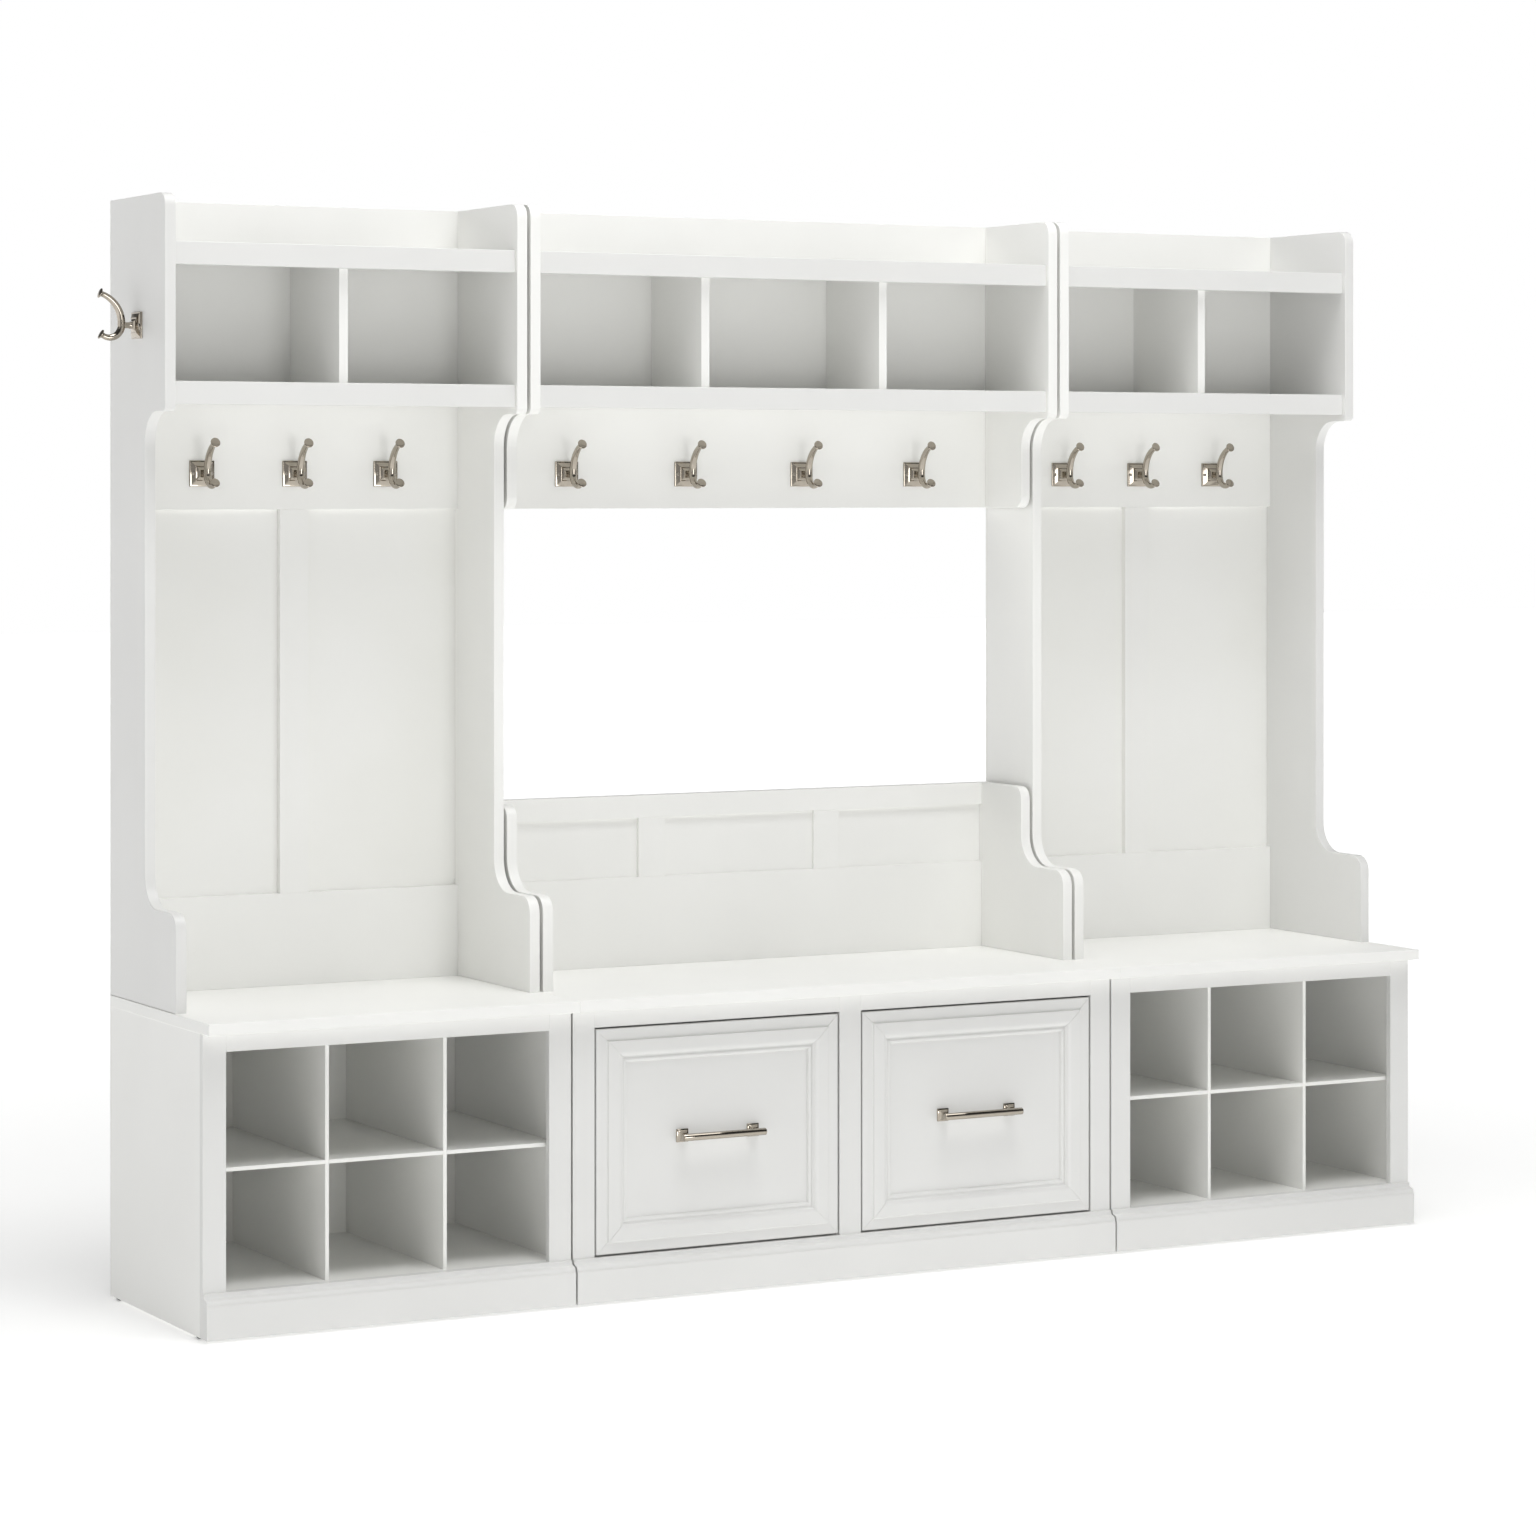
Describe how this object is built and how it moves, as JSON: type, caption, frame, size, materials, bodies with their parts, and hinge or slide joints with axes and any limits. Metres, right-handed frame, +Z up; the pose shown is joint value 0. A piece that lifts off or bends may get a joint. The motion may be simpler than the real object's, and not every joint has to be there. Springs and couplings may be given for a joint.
{
  "type": "hall tree",
  "caption": "White hall tree with hooks: three benches side by side with open shoe cubbies and drawers, panelled backs, double coat hooks and open overhead cubbies.",
  "frame": {"origin": "on the floor, at the middle of the whole piece's width and depth", "axes": "+X to the right seen from the front, +Y to the wall behind, +Z up"},
  "size_m": [2.378, 0.44, 1.75],
  "materials": {
    "white_painted_wood": "satin white paint",
    "white_hardboard": "smooth white hardboard",
    "white_thin_board": "satin white laminate",
    "white_inner_board": "white melamine",
    "satin_nickel": "satin nickel",
    "nickel_screws": "nickel plated",
    "zinc_fasteners": "zinc plated",
    "zinc_slides": "zinc plated",
    "black_plastic": "matte black"
  },
  "bodies": {
    "hall_tree": {"bench_back_panel": "white_painted_wood", "bench_back_sides": "white_painted_wood", "bench_backs": "white_hardboard", "bench_floors": "white_painted_wood", "bridge_back_panel": "white_painted_wood", "bridge_cubby_floor": "white_painted_wood", "bridge_sides": "white_painted_wood", "bridge_top_shelf": "white_painted_wood", "coat_hooks": "satin_nickel", "cubby_dividers": "white_painted_wood", "drawer_bench_face_frame": "white_painted_wood", "drawer_bench_left_side": "white_painted_wood", "drawer_bench_partition": "white_painted_wood", "drawer_bench_plinth": "white_painted_wood", "drawer_bench_right_side": "white_painted_wood", "drawer_bench_top": "white_painted_wood", "glides": "black_plastic", "hook_screws": "nickel_screws", "left_bench_face_frame": "white_painted_wood", "left_bench_inner_side": "white_painted_wood", "left_bench_outer_side": "white_painted_wood", "left_bench_plinth": "white_painted_wood", "left_bench_top": "white_painted_wood", "left_tower_back_board": "white_hardboard", "left_tower_cubby_floor": "white_painted_wood", "left_tower_inner_side": "white_painted_wood", "left_tower_outer_side": "white_painted_wood", "left_tower_rail_and_batten": "white_painted_wood", "left_tower_top_shelf": "white_painted_wood", "left_tower_upper_back_panel": "white_painted_wood", "module_connectors": "zinc_fasteners", "right_bench_face_frame": "white_painted_wood", "right_bench_inner_side": "white_painted_wood", "right_bench_outer_side": "white_painted_wood", "right_bench_plinth": "white_painted_wood", "right_bench_top": "white_painted_wood", "right_tower_back_board": "white_hardboard", "right_tower_cubby_floor": "white_painted_wood", "right_tower_inner_side": "white_painted_wood", "right_tower_outer_side": "white_painted_wood", "right_tower_rail_and_batten": "white_painted_wood", "right_tower_top_shelf": "white_painted_wood", "right_tower_upper_back_panel": "white_painted_wood", "shoe_cubby_crates": "white_thin_board", "slide_cabinet_members": "zinc_slides", "slide_spacers": "white_inner_board"},
    "left_drawer": {"left_drawer_front_frame": "white_painted_wood", "left_drawer_front_panel": "white_painted_wood", "left_drawer_box": "white_inner_board", "left_drawer_bottom": "white_hardboard", "left_drawer_pull": "satin_nickel", "left_drawer_runners": "zinc_slides"},
    "left_slides": {"left_slide_middle_members": "zinc_slides"},
    "right_drawer": {"right_drawer_front_frame": "white_painted_wood", "right_drawer_front_panel": "white_painted_wood", "right_drawer_box": "white_inner_board", "right_drawer_bottom": "white_hardboard", "right_drawer_pull": "satin_nickel", "right_drawer_runners": "zinc_slides"},
    "right_slides": {"right_slide_middle_members": "zinc_slides"}
  },
  "joints": [
    {"name": "left_drawer_travel", "type": "slide", "parent": "hall_tree", "child": "left_drawer", "axis": [0, -1, 0], "range_m": [0, 0.3]},
    {"name": "left_slide_travel", "type": "slide", "parent": "hall_tree", "child": "left_slides", "axis": [0, -1, 0], "range_m": [0, 0.15]},
    {"name": "right_drawer_travel", "type": "slide", "parent": "hall_tree", "child": "right_drawer", "axis": [0, -1, 0], "range_m": [0, 0.3]},
    {"name": "right_slide_travel", "type": "slide", "parent": "hall_tree", "child": "right_slides", "axis": [0, -1, 0], "range_m": [0, 0.15]}
  ],
  "couplings": [
    {"joint": "left_slide_travel", "follows": "left_drawer_travel", "ratio": 0.5},
    {"joint": "right_slide_travel", "follows": "right_drawer_travel", "ratio": 0.5}
  ]
}
